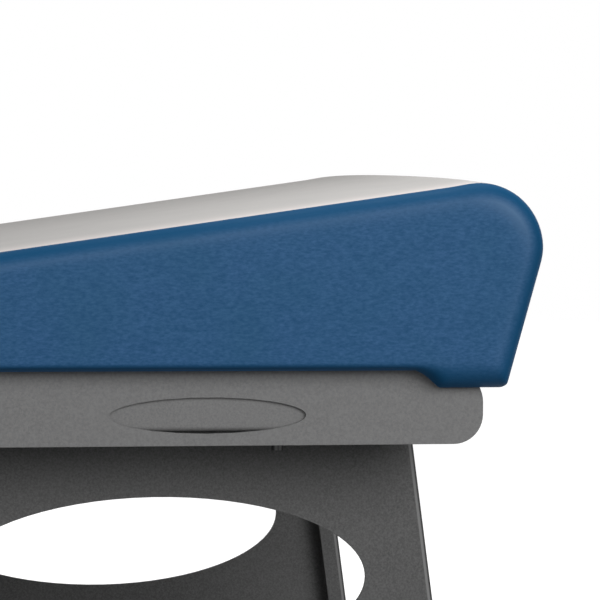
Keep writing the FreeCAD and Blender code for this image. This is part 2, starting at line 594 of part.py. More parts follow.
for end, way in ENDS:
    x = "%d * pedestal_x" % way
    cap = box("Cap" + end, "2*plate_top_half", "2*top_cap_half", "top_cap_thick", (x, 0, "cap_bottom"))
    own_bolts = [bolt_place for bolt_place in bolt_places if bolt_place[0] == way]
    piece("top_cap_" + end, cut("TopCap" + end, cap, bolt_holes(
        "CapHole" + end, own_bolts, "cap_bottom - 1", "top_cap_thick + 2")))
    for side, sign in SIDES:
        piece("pedestal_%s_%s" % (end, side), pedestal_plate("Pedestal%s%s" % (end, side), x, sign))

# ------------------------------------------------------------- floor frame
runner_caps = []
for side, sign in SIDES:
    y = "%d * runner_y" % sign
    runner = tube("Runner" + side, "2*runner_half", "runner_width", "runner_height", "runner_wall",
                  (0, y, "runner_bottom"), "X")
    seats = [bar("Runner%sSeat%s" % (side, end), "insert_radius", "2*runner_wall",
                 ("%d * foot_x" % way, y, "runner_bottom - runner_wall/2")) for end, way in ENDS]
    piece("runner_" + side, cut("RunnerTube" + side, runner, seats))
    runner_caps += [plug("RunnerCap%s%s" % (side, end), way, "runner_half", y, "runner_bottom", "runner_width",
                         "runner_height", "runner_wall", "runner_cap") for end, way in ENDS]
piece("runner_caps", group("RunnerCaps", runner_caps))
piece("floor_cross_tubes", group("FloorCrossTubes", [
    tube("FloorCross" + end, "runner_width", "2*runner_y - runner_width", "runner_height", "runner_wall",
         ("%d * pedestal_x" % way, 0, "runner_bottom"), "Y") for end, way in ENDS]))

inserts = []
foot_places = [("%d * foot_x" % way, "%d * runner_y" % sign) for end, way in ENDS for side, sign in SIDES]
for number, (x, y) in enumerate(foot_places, start=1):
    sleeve = bar("Insert%dSleeve" % number, "insert_radius", "insert_height", (x, y, "runner_bottom"))
    thread = bar("Insert%dThread" % number, "stud_radius + stud_fit", "2*insert_height",
                 (x, y, "runner_bottom - insert_height/2"))
    inserts.append(cut("Insert%d" % number, sleeve, [thread]))
    disc = bar("FootPad%dDisc" % number, "foot_radius", "foot_pad/2", (x, y, 0))
    dome = doc.addObject("Part::Cone", "FootPad%dDome" % number)
    bind(dome, Radius1="foot_radius", Radius2="foot_radius/2", Height="foot_pad/2")
    place(dome, x, y, "foot_pad/2")
    piece("foot_pad_%d" % number, join("FootPad%d" % number, [disc, dome]))
    stud = bar("FootStud%dStem" % number, "stud_radius", "stud_top - foot_pad", (x, y, "foot_pad"))
    collar = hexagon("FootStud%dNut" % number, "stud_nut_across", "stud_nut_height", (x, y, "foot_pad"))
    piece("foot_stud_%d" % number, join("FootStud%d" % number, [stud, collar]))
piece("foot_inserts", group("FootInserts", inserts))


# ------------------------------------------------------ lockable gas spring
def pierced(name, length, height, at, pin):
    """Two bracket plates, one each side, with a bore for the pin at (X, side distance, Z)."""
    plates = []
    for side, sign in SIDES:
        plate = box(name + side, length, "bracket_thick", height, (at[0], "%d * %s" % (sign, pin[1]), at[1]))
        bore = bar(name + "Bore" + side, "pin_radius + pin_fit", "2*bracket_thick",
                   (pin[0], "%d * %s" % (sign, pin[1]), pin[2]), "Y")
        plates.append(cut(name + "Plate" + side, plate, [bore]))
    return group(name, plates)


def along(name, radius, start, end):
    """A round length of the spring between two distances from its foot pin."""
    return bar(name, radius, "%s - (%s)" % (end, start),
               ("spring_foot_x + (%s + %s)/2" % (start, end), 0, "spring_z"), "X")


bracket_start = "(hinge_x + cross_width/2)"
bracket_end = "(spring_foot_x + bracket_width/2)"
piece("spring_foot_bracket", pierced(
    "SpringFootBracket", "%s - %s" % (bracket_end, bracket_start), "spring_up + eye_radius + bracket_thick",
    ("(%s + %s)/2" % (bracket_start, bracket_end), "frame_bottom"), ("spring_foot_x", "bracket_y", "spring_z")))
piece("spring_foot_pin", bar("SpringFootPin", "pin_radius", "2*(bracket_y + bracket_thick)",
                             ("spring_foot_x", 0, "spring_z"), "Y"))
barrel = join("BarrelForm", [
    bar("BarrelEye", "eye_radius", "2*eye_half", ("spring_foot_x", 0, "spring_z"), "Y"),
    along("BarrelNeck", "eye_half", "eye_radius/2", "barrel_start"),
    along("BarrelTube", "barrel_radius", "barrel_start", "barrel_stop")])
piece("spring_barrel", cut("SpringBarrel", barrel, [
    bar("BarrelPinBore", "pin_radius + pin_fit", "4*eye_half", ("spring_foot_x", 0, "spring_z"), "Y"),
    along("BarrelBore", "barrel_bore", "barrel_start + barrel_end", "barrel_stop - barrel_end"),
    along("BarrelRodBore", "spring_rod_radius + pin_fit", "barrel_start + 2*barrel_end", "barrel_stop + 1")]))
rod = join("SpringRodForm", [
    along("RodStem", "spring_rod_radius", "rod_tail", "spring_length - eye_radius/2"),
    along("RodPiston", "piston_radius", "rod_tail", "rod_tail + piston_length"),
    bar("RodEye", "eye_radius", "2*eye_half", ("spring_head_x", 0, "spring_z"), "Y")])
piece("spring_rod", cut("SpringRod", rod, [
    bar("RodPinBore", "pin_radius", "4*eye_half", ("spring_head_x", 0, "spring_z"), "Y")]))
piece("spring_head_pin", bar("SpringHeadPin", "pin_radius", "2*eye_half",
                             ("spring_head_x", 0, "spring_z"), "Y"))
piece("spring_head_bracket", group("SpringHeadBracket", [
    box("HeadBracket" + side, "bracket_width", "bracket_thick", "bracket_drop",
        ("spring_head_x", "%d * bracket_y" % sign, "pad_bottom - bracket_drop")) for side, sign in SIDES]))

# -------------------------------------------------- release of the spring
hub = bar("PaddleHub", "paddle_hub", "2*paddle_half", ("paddle_x", 0, "paddle_z"), "Y")
nose = box("PaddleNose", "paddle_hub - release_gap", "2*paddle_half", "paddle_hub",
           ("(paddle_x + paddle_face)/2", 0, "paddle_z"))
blade = box("PaddleBlade", "paddle_reach", "2*paddle_half", "paddle_thick",
            ("paddle_x + paddle_reach/2", 0, "paddle_z - paddle_hub + release_gap"))
piece("release_paddle", cut("ReleasePaddle", join("PaddleForm", [hub, nose, blade]), [
    bar("PaddleBore", "pin_radius + pin_fit", "2*paddle_half + 2", ("paddle_x", 0, "paddle_z"), "Y")]))
piece("paddle_brackets", pierced(
    "PaddleBracket", "paddle_bracket", "bearer_width", ("paddle_start + paddle_bracket/2", "back_tube_bottom"),
    ("paddle_x", "paddle_side", "paddle_z")))
piece("paddle_pin", bar("PaddlePin", "pin_radius", "2*(paddle_side + bracket_thick)",
                        ("paddle_x", 0, "paddle_z"), "Y"))
piece("release_rod", bar("ReleaseRod", "release_radius", "release_end - release_start",
                         ("(release_end + release_start)/2", 0, "release_z"), "X"))

# ------------------------------------------------------ checks and output
doc.recompute()
for thing in doc.Objects:
    if "Invalid" in thing.State or "Error" in thing.State:
        raise RuntimeError("%s failed: %s" % (thing.Name, thing.State))
for node, thing in pieces.items():
    if thing.Shape.isNull() or not thing.Shape.isValid() or not thing.Shape.Solids:
        raise RuntimeError("%s has no sound shape" % node)
os.makedirs("parts", exist_ok=True)
for node, thing in pieces.items():
    thing.Shape.exportStep("parts/%s.step" % node)
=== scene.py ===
"""Look of the exam table: upholstery, finishes, floor, light and camera.  Metres, Z up."""
import math
import bmesh
import bpy
import numpy as np
from mathutils import Matrix, Vector


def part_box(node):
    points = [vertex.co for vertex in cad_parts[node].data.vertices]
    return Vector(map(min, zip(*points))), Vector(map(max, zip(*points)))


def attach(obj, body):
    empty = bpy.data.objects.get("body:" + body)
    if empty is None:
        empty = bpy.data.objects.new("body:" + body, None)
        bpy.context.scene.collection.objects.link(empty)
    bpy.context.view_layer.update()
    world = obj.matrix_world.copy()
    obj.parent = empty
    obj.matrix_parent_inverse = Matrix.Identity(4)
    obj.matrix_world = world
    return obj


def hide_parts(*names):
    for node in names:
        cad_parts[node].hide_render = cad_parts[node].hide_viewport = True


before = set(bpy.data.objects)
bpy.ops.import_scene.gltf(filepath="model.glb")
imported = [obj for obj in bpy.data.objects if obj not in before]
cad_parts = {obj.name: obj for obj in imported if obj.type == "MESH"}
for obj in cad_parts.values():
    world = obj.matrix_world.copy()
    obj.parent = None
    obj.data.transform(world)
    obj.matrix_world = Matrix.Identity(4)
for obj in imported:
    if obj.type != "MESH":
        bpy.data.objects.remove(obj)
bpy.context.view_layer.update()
MM = 0.001


# ------------------------------------------------------------------ materials
def srgb(red, green, blue):
    """A linear colour from the 0 to 255 values a screen shows."""
    def linear(value):
        value /= 255
        return value / 12.92 if value <= 0.04045 else ((value + 0.055) / 1.055) ** 2.4
    return linear(red), linear(green), linear(blue), 1.0


class Finish:
    """A node material built up from its principled shader."""

    def __init__(self, name, roughness, metallic=0.0, specular=0.5):
        self.material = bpy.data.materials.new(name)
        self.material.use_nodes = True
        self.tree = self.material.node_tree
        self.shader = self.tree.nodes["Principled BSDF"]
        self.shader.inputs["Roughness"].default_value = roughness
        self.shader.inputs["Metallic"].default_value = metallic
        self.shader.inputs["Specular IOR Level"].default_value = specular
        self.place = self.node("ShaderNodeTexCoord").outputs["Object"]
        self.relief = None

    def node(self, kind, **values):
        made = self.tree.nodes.new(kind)
        for name, value in values.items():
            setattr(made, name, value)
        return made

    def feed(self, socket, value):
        if isinstance(value, bpy.types.NodeSocket):
            self.tree.links.new(value, socket)
        else:
            socket.default_value = value

    def stretched(self, scale):
        """The piece's own coordinates, scaled apart along X, Y and Z."""
        mapping = self.node("ShaderNodeMapping")
        self.feed(mapping.inputs["Vector"], self.place)
        mapping.inputs["Scale"].default_value = scale
        return mapping.outputs["Vector"]

    def noise(self, scale, detail=3.0, rough=0.55, place=None):
        made = self.node("ShaderNodeTexNoise")
        self.feed(made.inputs["Vector"], place or self.place)
        made.inputs["Scale"].default_value = scale
        made.inputs["Detail"].default_value = detail
        made.inputs["Roughness"].default_value = rough
        return made.outputs["Fac"]

    def cells(self, scale, place=None):
        made = self.node("ShaderNodeTexVoronoi")
        self.feed(made.inputs["Vector"], place or self.place)
        made.inputs["Scale"].default_value = scale
        return made.outputs["Distance"]

    def painted(self, name):
        """A value that the mesh carries at its points."""
        return self.node("ShaderNodeAttribute", attribute_name=name).outputs["Fac"]

    def math(self, operation, *values):
        made = self.node("ShaderNodeMath", operation=operation)
        for socket, value in zip(made.inputs, values):
            self.feed(socket, value)
        return made.outputs[0]

    def spread(self, value, low, high):
        """A texture value stretched from its usual middle band to between low and high."""
        made = self.node("ShaderNodeMapRange")
        self.feed(made.inputs["Value"], value)
        usual_low, usual_high = 0.3, 0.7
        for name, number in (("From Min", usual_low), ("From Max", usual_high),
                             ("To Min", low), ("To Max", high)):
            made.inputs[name].default_value = number
        return made.outputs["Result"]

    def tint(self, amount, first, second):
        made = self.node("ShaderNodeMix", data_type="RGBA")
        self.feed(made.inputs["Factor"], amount)
        self.feed(made.inputs["A"], first)
        self.feed(made.inputs["B"], second)
        return made.outputs["Result"]

    def turned(self, *stops):
        """A value that follows how squarely a face looks along Y, by (squareness, value) stops."""
        facing = self.node("ShaderNodeSeparateXYZ")
        self.feed(facing.inputs[0], self.node("ShaderNodeNewGeometry").outputs["Normal"])
        ramp = self.node("ShaderNodeValToRGB")
        self.feed(ramp.inputs["Fac"], self.math("ABSOLUTE", facing.outputs["Y"]))
        ramp.color_ramp.elements[1].color = (0, 0, 0, 1)
        for place, value in stops:
            ramp.color_ramp.elements.new(place).color = (value, value, value, 1)
        return ramp.outputs["Color"]

    def colour(self, value):
        self.feed(self.shader.inputs["Base Color"], value)

    def rough(self, value):
        self.feed(self.shader.inputs["Roughness"], value)

    def bump(self, height, distance):
        """Adds relief of the given depth in metres, over any relief put on before."""
        made = self.node("ShaderNodeBump")
        made.inputs["Strength"].default_value = 1.0
        made.inputs["Distance"].default_value = distance
        self.feed(made.inputs["Height"], height)
        if self.relief is not None:
            self.feed(made.inputs["Normal"], self.relief)
        self.relief = made.outputs["Normal"]
        self.feed(self.shader.inputs["Normal"], self.relief)

    def soft_edges(self, radius):
        """Rounds the light on sharp metal edges, as a coat of paint does."""
        made = self.node("ShaderNodeBevel")
        made.samples = 4
        made.inputs["Radius"].default_value = radius
        self.relief = made.outputs["Normal"]
        self.feed(self.shader.inputs["Normal"], self.relief)


def vinyl(name, base, grain, streak, roughness, gloss, painted_rim_shade, painted_ridge_highlight):
    """Upholstery vinyl: fine streaks drawn out along the table, pores and slow colour change.
    It has painted shade where it turns over an edge, and a painted highlight along that turn."""
    made = Finish(name, roughness, specular=gloss)
    long_grain = made.noise(scale=1.0, detail=4.0, rough=0.6, place=made.stretched((240, 560, 560)))
    mottle = made.noise(scale=18.0, detail=2.0)
    pores = made.cells(scale=1400.0)
    base_tone = made.tint(made.spread(mottle, 0.0, 1.0), base, grain)
    tone = made.tint(made.spread(long_grain, 0.0, 1.0), base_tone, streak)
    # painted shade over the edge's roll, then a painted highlight along its ridge
    tone = made.tint(made.painted("painted_rim_shade"), tone, painted_rim_shade)
    tone = made.tint(made.painted("painted_ridge_highlight"), tone, painted_ridge_highlight)
    made.colour(tone)
    made.rough(made.spread(mottle, roughness - 0.05, roughness + 0.06))
    made.bump(pores, 0.04 * MM)
    made.bump(long_grain, 0.035 * MM)
    made.bump(made.noise(scale=60.0, detail=2.0), 0.2 * MM)
    return made.material


# (how squarely a face looks along Y, how much of the colour it takes), for the painted highlight
# where a fold in a plate begins and the painted shade round the rest of it
BEND_HIGHLIGHT_STOPS = (0.82, 0), (0.88, 1), (0.985, 1), (0.998, 0)
FOLD_SHADE_STOPS = (0.08, 0), (0.2, 1), (0.7, 1), (0.82, 0)


def paint(name, low, high, roughness, worn, bend_highlight=None, fold_shade=None):
    """Fine-textured powder coat on steel. On folded plates it has a painted highlight where a fold begins
    and painted shade round the rest of it."""
    made = Finish(name, roughness, specular=0.12)
    made.soft_edges(0.8 * MM)
    speckle = made.noise(scale=540.0, detail=3.0, rough=0.8)
    cloud = made.noise(scale=25.0, detail=3.0)
    tone = made.tint(made.spread(speckle, -0.2, 1.2), low, high)
    tone = made.tint(made.spread(cloud, 0.0, worn), tone, high)
    if bend_highlight:
        # painted highlight where a fold begins, painted shade round the rest of the fold
        tone = made.tint(made.turned(*BEND_HIGHLIGHT_STOPS), tone, bend_highlight)
        tone = made.tint(made.turned(*FOLD_SHADE_STOPS), tone, fold_shade)
    made.colour(tone)
    made.rough(made.spread(cloud, roughness - 0.06, roughness + 0.06))
    made.bump(speckle, 0.12 * MM)
    return made.material


def zinc(name):
    """Bright zinc plate with its crystal patches."""
    made = Finish(name, 0.34, metallic=1.0)
    made.soft_edges(0.4 * MM)
    patches = made.cells(scale=260.0)
    made.colour(made.tint(made.spread(patches, 0.0, 1.0), srgb(150, 152, 155), srgb(186, 187, 184)))
    made.rough(made.spread(made.noise(scale=120.0, detail=3.0), 0.26, 0.44))
    made.bump(made.noise(scale=500.0, detail=2.0), 0.03 * MM)
    return made.material


def plastic(name, low, high, roughness, grain):
    """Moulded plastic or rubber with a spark-eroded skin."""
    made = Finish(name, roughness, specular=0.4)
    made.soft_edges(0.7 * MM)
    skin = made.noise(scale=grain, detail=4.0, rough=0.65)
    made.colour(made.tint(made.spread(skin, 0.0, 1.0), low, high))
    made.rough(made.spread(made.noise(scale=40.0, detail=2.0), roughness - 0.07, roughness + 0.07))
    made.bump(skin, 0.08 * MM)
    return made.material


def timber(name, light, dark, ring_scale):
    """Timber with its grain along the table."""
    made = Finish(name, 0.62, specular=0.25)
    place = made.stretched((0.7, ring_scale, ring_scale))
    rings = made.node("ShaderNodeTexWave", wave_type="RINGS", rings_direction="X")
    made.feed(rings.inputs["Vector"], place)
    for socket, value in (("Scale", 1.2), ("Distortion", 9.0), ("Detail", 3.0), ("Detail Scale", 1.4)):
        rings.inputs[socket].default_value = value
    fibre = made.noise(scale=1.0, detail=4.0, rough=0.6, place=made.stretched((30, 700, 700)))
    grain = made.tint(made.math("MULTIPLY", rings.outputs["Fac"], 0.55), light, dark)
    made.colour(made.tint(made.spread(fibre, 0.0, 0.35), grain, dark))
    made.bump(fibre, 0.10 * MM)
    return made.material


def polished(name):
    """A ground and chromed rod, with fine marks round it."""
    made = Finish(name, 0.12, metallic=1.0)
    marks = made.noise(scale=1.0, detail=2.0, rough=0.5, place=made.stretched((1500, 120, 120)))
    made.colour(made.tint(made.noise(scale=8.0), srgb(196, 198, 200), srgb(214, 214, 212)))
    made.rough(made.spread(marks, 0.08, 0.2))
    return made.material


# in each vinyl the rim colour is painted shade and the ridge colour a painted highlight
FINISHES = {
    "blue_vinyl": vinyl("blue_vinyl_grain", srgb(54, 90, 129), grain=srgb(50, 88, 122),
                        streak=srgb(34, 72, 107), roughness=0.55, gloss=0.05,
                        painted_rim_shade=srgb(13, 63, 97), painted_ridge_highlight=srgb(73, 102, 134)),
    "stone_vinyl": vinyl("stone_vinyl_grain", srgb(176, 174, 172), grain=srgb(168, 166, 165),
                         streak=srgb(174, 172, 170), roughness=0.55, gloss=0.0,
                         painted_rim_shade=srgb(172, 170, 168), painted_ridge_highlight=srgb(196, 191, 189)),
    "frame_paint": paint("frame_powder_coat", srgb(102, 102, 102), srgb(117, 117, 117),
                         roughness=0.55, worn=0.3),
    # the base paint's bend colour is a painted highlight and its fold colour painted shade
    "base_paint": paint("base_powder_coat", srgb(69, 69, 69), srgb(92, 92, 92),
                        roughness=0.5, worn=0.25, bend_highlight=srgb(116, 116, 116), fold_shade=srgb(40, 40, 40)),
    "zinc_steel": zinc("zinc_plate"),
    "black_plastic": plastic("black_moulding", srgb(24, 24, 25), srgb(38, 38, 39),
                             roughness=0.48, grain=900.0),
    "black_rubber": plastic("black_rubber_skin", srgb(20, 20, 20), srgb(34, 33, 33),
                            roughness=0.75, grain=400.0),
    "spring_black": paint("spring_enamel", srgb(16, 16, 17), srgb(24, 24, 25), roughness=0.28, worn=0.2),
    "chrome_rod": polished("hard_chrome"),
    "plywood": timber("birch_plywood", srgb(206, 176, 132), srgb(168, 130, 88), ring_scale=16.0),
    "beech": timber("beech", srgb(203, 160, 118), srgb(164, 116, 78), ring_scale=26.0),
}

# the finishes of nodes by name, and then of the rest by how their names start
NODE_FINISH = {
    "seat_board": "plywood", "back_board": "plywood", "seat_bearers": "beech",
    "spring_barrel": "spring_black", "spring_rod": "chrome_rod",
}
NODE_STARTS = {
    "frame_paint": ("rail", "side_tube_front", "side_tube_rear", "cross_tubes", "hinge_cross_tube",
                    "hinge_ear", "back_tubes", "back_cross_pieces", "paddle_brackets", "pivot_lugs"),
    "base_paint": ("top_cap", "pedestal", "runner_front", "runner_rear", "floor_cross_tubes",
                   "spring_foot_bracket", "spring_head_bracket", "frame_bolts"),
    "zinc_steel": ("seat_screws", "back_screws", "pivot_shaft", "ear_bolts", "frame_nuts", "foot_stud",
                   "spring_foot_pin", "spring_head_pin", "paddle_pin", "release_rod"),
    "black_plastic": ("foot_inserts", "pivot_caps", "side_tube_plugs", "runner_caps",
                      "release_paddle", "hinge_bushes"),
    "black_rubber": ("foot_pad", "back_buffers"),
}
for finish, starts in NODE_STARTS.items():
    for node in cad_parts:
        if node.startswith(starts):
            NODE_FINISH.setdefault(node, finish)

for node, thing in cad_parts.items():
    for material_slot in thing.material_slots:
        if node in NODE_FINISH:
            material_slot.material = FINISHES[NODE_FINISH[node]]


# ----------------------------------------------------------------- upholstery
PAD_BOTTOM = 700 * MM
PAD_TOP = 780 * MM
HINGE_X = 165 * MM
HALF_WIDTH = 350 * MM
# how far the foam fills out past a plain cushion's end
SWELL = 2.8 * MM
# the roll round a cushion's edges: its size, the angles it is drawn at and its size underneath
ROLL = 12.5 * MM
ROLL_ANGLES = (5, 12, 24, 37, 50, 63, 76, 90)
LOW_ROLL = 6 * MM
# the lip under a cushion's end: its underside, the height and depth of its roll, and the length over
# which that roll takes over from the lower edge's
LIP_BOTTOM = 684.5 * MM
LIP_ROLL = 23 * MM
LIP_DEPTH = 23.5 * MM
LIP_GROWTH = 36 * MM
# how far the foam stands out between the seams, on top, on the ends and on the sides
CROWN = 3.4 * MM
CROWN_POWER = 2.6
END_CROWN = 2.5 * MM
SIDE_CROWN = 1.2 * MM
# a seam's groove: its depth, the share of that just outside the seam, its reach inside it, where the
# seam runs, and how squarely up a face has to look to have one
SEAM_DEPTH = 0.9 * MM
OUTER_SEAM_SHARE = 0.4
SEAM_REACH = 2.4 * MM
SEAM_Y = HALF_WIDTH - ROLL
TOP_SLOPE = 0.2
# the length over which directions are evened out, and how corners are rounded as they are drawn in
EVENED_OVER = 24 * MM
ROUNDED_OVER = 14 * MM
ROUNDINGS = 24
# places from side to side: close together by the seams, evenly apart between them
BY_SEAM = [SEAM_Y - gap for gap in (0, 1.2 * MM, 3 * MM)]
BETWEEN_SEAMS = SEAM_Y - 8 * MM
COLUMNS = [-y for y in BY_SEAM] + list(np.linspace(-BETWEEN_SEAMS, BETWEEN_SEAMS, 47)) + BY_SEAM[::-1]
# (share of the way from the roll to the spine, how much painted highlight the vinyl has there)
SIDE_SHARES = (0.05, 0.62), (0.12, 0.16), (0.2, 0.02), (0.3, 0), (0.42, 0), (0.6, 0), (0.8, 0)
# the painted highlight is strongest where the vinyl faces this way in side view
HIGHLIGHT_WAY = (0.6, 0.8)
LEAST_HIGHLIGHT = 0.15
# the painted highlight is greatest at this angle round the edge's roll, and fades over so many degrees
HIGHLIGHT_ANGLE = 92
HIGHLIGHT_SPREAD = 15
# the painted shade fades with the cosine of the same angle. It is this strong on the underside, and
# the top panel takes this much less of it
RIM_REACH, RIM_POWER = 1.6, 0.9
RIM_LEVEL = 0.8
PANEL_PALER = 0.7
# the length over which the painted highlight fades from a seam across the top panel
HIGHLIGHT_FADE = 90 * MM
# a box's faces, where its corners are counted with Z changing fastest and X slowest
BOX_FACES = ((0, 1, 3, 2), (4, 6, 7, 5), (0, 4, 5, 1), (2, 3, 7, 6), (0, 2, 6, 4), (1, 5, 7, 3))


def arc(centre, radius, start, end, count):
    """Points round an arc in side view, between two angles in degrees."""
    angles = np.radians(np.linspace(start, end, count))
    return [(centre[0] + radius * math.cos(a), centre[1] + radius * math.sin(a)) for a in angles]


def line(start, end, step):
    """Points along a straight run, without its last one."""
    count = max(1, round(math.dist(start, end) / step))
    return [tuple(np.array(start) + (np.array(end) - start) * i / count) for i in range(count)]


def inward(points):
    """Directions into the form at each point, evened out so that tight corners don't fold."""
    points = np.array(points)
    ahead = np.roll(points, -1, 0) - np.roll(points, 1, 0)
    normal = np.stack([-ahead[:, 1], ahead[:, 0]], 1)
    normal /= np.linalg.norm(normal, axis=1)[:, None]
    run = np.concatenate([[0], np.cumsum(np.linalg.norm(np.diff(points, axis=0), axis=1))])
    total = run[-1] + np.linalg.norm(points[0] - points[-1])
    even = np.zeros_like(normal)
    weight = np.linalg.norm(ahead, axis=1)
    for i in range(len(points)):
        gap = np.abs((run - run[i] + total / 2) % total - total / 2)
        near = np.clip(1 - gap / EVENED_OVER, 0, 1) * weight
        even[i] = (normal * near[:, None]).sum(0)
    even /= (even * normal).sum(1)[:, None]
    return normal, even


def eased(ring, inset):
    """A ring drawn in by some distance, with its corners rounded to suit that distance."""
    share = np.clip(inset / ROUNDED_OVER, 0, 1)[:, None] / 2
    for _ in range(ROUNDINGS):
        ring = ring + share * ((np.roll(ring, 1, 0) + np.roll(ring, -1, 0)) / 2 - ring)
    return ring


class Cover:
    """A closed cover over foam. Its outline runs anticlockwise in side view, and spine has the place
    inside that each of its points closes on. Where its flag in pale is true it is the top panel. The
    lip at its end starts at lip_from."""

    def __init__(self, outline, spine, pale, lip_from):
        self.points = np.array(outline)
        self.spine = spine
        self.pale = np.array(pale)
        self.count = len(outline)
        self.normal, self.towards = inward(self.points)
        self.up = np.clip(-self.normal[:, 1], 0, 1)
        self.out = np.clip(np.abs(self.normal[:, 0]), 0, 1) * (1 - self.up)
        self.under = np.clip(self.normal[:, 1], 0, 1)
        share = np.clip((self.points[:, 0] - lip_from) / LIP_GROWTH, 0, 1)
        self.lip = share ** 2 * (3 - 2 * share) * self.under
        self.depth = ROLL + (LIP_DEPTH - ROLL) * self.lip

    def across(self):
        """Rows of points over the top, the ends and the underside, between the two sides' seams."""
        seams = [i for i in range(self.count) if self.pale[i] != self.pale[i - 1]]
        rows = []
        for y in COLUMNS:
            rise = (1 - abs(y / SEAM_Y) ** CROWN_POWER) * (CROWN * self.up + END_CROWN * self.out)
            dip = SEAM_DEPTH * max(0, 1 - (SEAM_Y - abs(y)) / SEAM_REACH) * (self.up > TOP_SLOPE)
            ring = self.points - self.normal * (rise - dip)[:, None]
            for i in seams:
                ring[i] += self.normal[i] * (SEAM_DEPTH - dip[i])
            rows.append((ring, y * (HALF_WIDTH - self.depth) / SEAM_Y))
        return rows

    def side(self):
        """Rows from a seam round the edge's roll and in to the spine. Each has its share of painted
        highlight, and how far it is into the roll's painted shade."""
        soft = ROLL + (LOW_ROLL - ROLL) * self.under + (LIP_ROLL - LOW_ROLL) * self.lip
        rows = []
        for angle in ROLL_ANGLES:
            turn = math.radians(angle)
            dip = OUTER_SEAM_SHARE * SEAM_DEPTH * (self.up > TOP_SLOPE) * (angle == ROLL_ANGLES[0])
            inset = soft * (1 - math.cos(turn)) + dip
            ring = eased(self.points + self.towards * inset[:, None], inset)
            # the painted highlight and painted shade that this row takes round the roll
            highlight_share = math.exp(-((angle - HIGHLIGHT_ANGLE) / HIGHLIGHT_SPREAD) ** 2)
            shade_share = min(1, RIM_REACH * math.cos(turn)) ** RIM_POWER
            rows.append((ring, HALF_WIDTH - self.depth * (1 - math.sin(turn)), highlight_share, shade_share))
        start, end = rows[-1][0], np.array(self.spine)
        for share, highlight_share in SIDE_SHARES:
            bulge = SIDE_CROWN * (1 - (1 - share) ** 2)
            rows.append((start + (end - start) * share, np.full(self.count, HALF_WIDTH + bulge), highlight_share, 0))
        return rows

    def wear(self, side):
        """For each point, how much it takes of the rim's painted shade and of the ridge's painted highlight.
        """
        highlight_share = np.array([row[2] for row in side])
        shade_share = np.array([row[3] for row in side])
        highlight_facing = np.clip(-self.normal @ np.array(HIGHLIGHT_WAY), 0, 1) ** 4
        highlight_facing = (LEAST_HIGHLIGHT + (1 - LEAST_HIGHLIGHT) * highlight_facing) * (1 - self.under)
        turned = np.clip(RIM_LEVEL + (1 - RIM_LEVEL) * (self.up + self.out), 0, 1)
        by_seam = np.clip(1 - (SEAM_Y - abs(np.array(COLUMNS))) / HIGHLIGHT_FADE, 0, 1) ** 2
        on_top = np.outer(np.ones(len(COLUMNS)), turned * (1 - PANEL_PALER * self.pale))
        painted_rim_shade = [np.outer(shade_share[::-1], turned), on_top, np.outer(shade_share, turned)]
        painted_ridge_highlight = [np.outer(highlight_share[::-1], highlight_facing), np.outer(by_seam, self.pale), np.outer(highlight_share, highlight_facing)]
        return {"painted_rim_shade": np.concatenate(painted_rim_shade).ravel(), "painted_ridge_highlight": np.concatenate(painted_ridge_highlight).ravel()}

    def skin(self, side, across):
        """Vertices and faces over all the rows, and whether each face is in the top panel."""
        rows = [(row[0], -row[1]) for row in reversed(side)] + across + [row[:2] for row in side]
        vertices = [(x, y, z) for ring, ys in rows for (x, z), y in zip(ring, ys)]
        faces, stone = [], []
        first, last = len(side), len(side) + len(across) - 1
        for r in range(len(rows) - 1):
            low, high = r * self.count, (r + 1) * self.count
            for i in range(self.count):
                j = (i + 1) % self.count
                faces.append((low + i, low + j, high + j, high + i))
                stone.append(first <= r < last and bool(self.pale[i]))
        return vertices, faces, stone

    def close(self, vertices, faces, stone):
        """Closes both sides on the spine, where points with one place are one vertex."""
        for sign, row in ((-1, 0), (1, len(vertices) // self.count - 1)):
            known, place = {}, []
            for x, z in self.spine:
                key = (round(x, 7), round(z, 7))
                if key not in known:
                    known[key] = len(vertices)
                    vertices.append((x, sign * (HALF_WIDTH + SIDE_CROWN), z))
                place.append(known[key])
            for i in range(self.count):
                j = (i + 1) % self.count
                ring = [row * self.count + i, row * self.count + j, place[j], place[i]]
                if place[i] == place[j]:
                    ring.pop()
                faces.append(tuple(ring[::sign]))
                stone.append(False)

    def build(self, name, way):
        """Makes the cover, drawn towards +X or, with a way of -1, towards -X."""
        side = self.side()
        vertices, faces, stone = self.skin(side, self.across())
        self.close(vertices, faces, stone)
        mesh = bpy.data.meshes.new(name)
        mesh.from_pydata([(way * x, y, z) for x, y, z in vertices], [], faces)
        mesh.materials.append(FINISHES["blue_vinyl"])
        mesh.materials.append(FINISHES["stone_vinyl"])
        mesh.polygons.foreach_set("material_index", np.array(stone, np.int32))
        for label, values in self.wear(side).items():
            weights = np.zeros(len(vertices), np.float32)
            weights[:len(values)] = values
            mesh.attributes.new(label, "FLOAT", "POINT").data.foreach_set("value", weights)
        form = bmesh.new()
        form.from_mesh(mesh)
        bmesh.ops.recalc_face_normals(form, faces=form.faces)
        form.to_mesh(mesh)
        form.free()
        made = bpy.data.objects.new(name, mesh)
        bpy.context.scene.collection.objects.link(made)
        return made


def hollow(cover, cutters):
    """Cuts boxes out of a cover, each given by two opposite corners."""
    for one, other in cutters:
        low, high = np.minimum(one, other), np.maximum(one, other)
        corners = [(x, y, z) for x in (low[0], high[0]) for y in (low[1], high[1]) for z in (low[2], high[2])]
        mesh = bpy.data.meshes.new("cutter")
        mesh.from_pydata(corners, [], BOX_FACES)
        cutter = bpy.data.objects.new("cutter", mesh)
        bpy.context.scene.collection.objects.link(cutter)
        cut = cover.modifiers.new("room", "BOOLEAN")
        cut.operation = "DIFFERENCE"
        cut.solver = "EXACT"
        cut.object = cutter
        apply_modifiers(cover)
        bpy.data.objects.remove(cutter)
        bpy.data.meshes.remove(mesh)


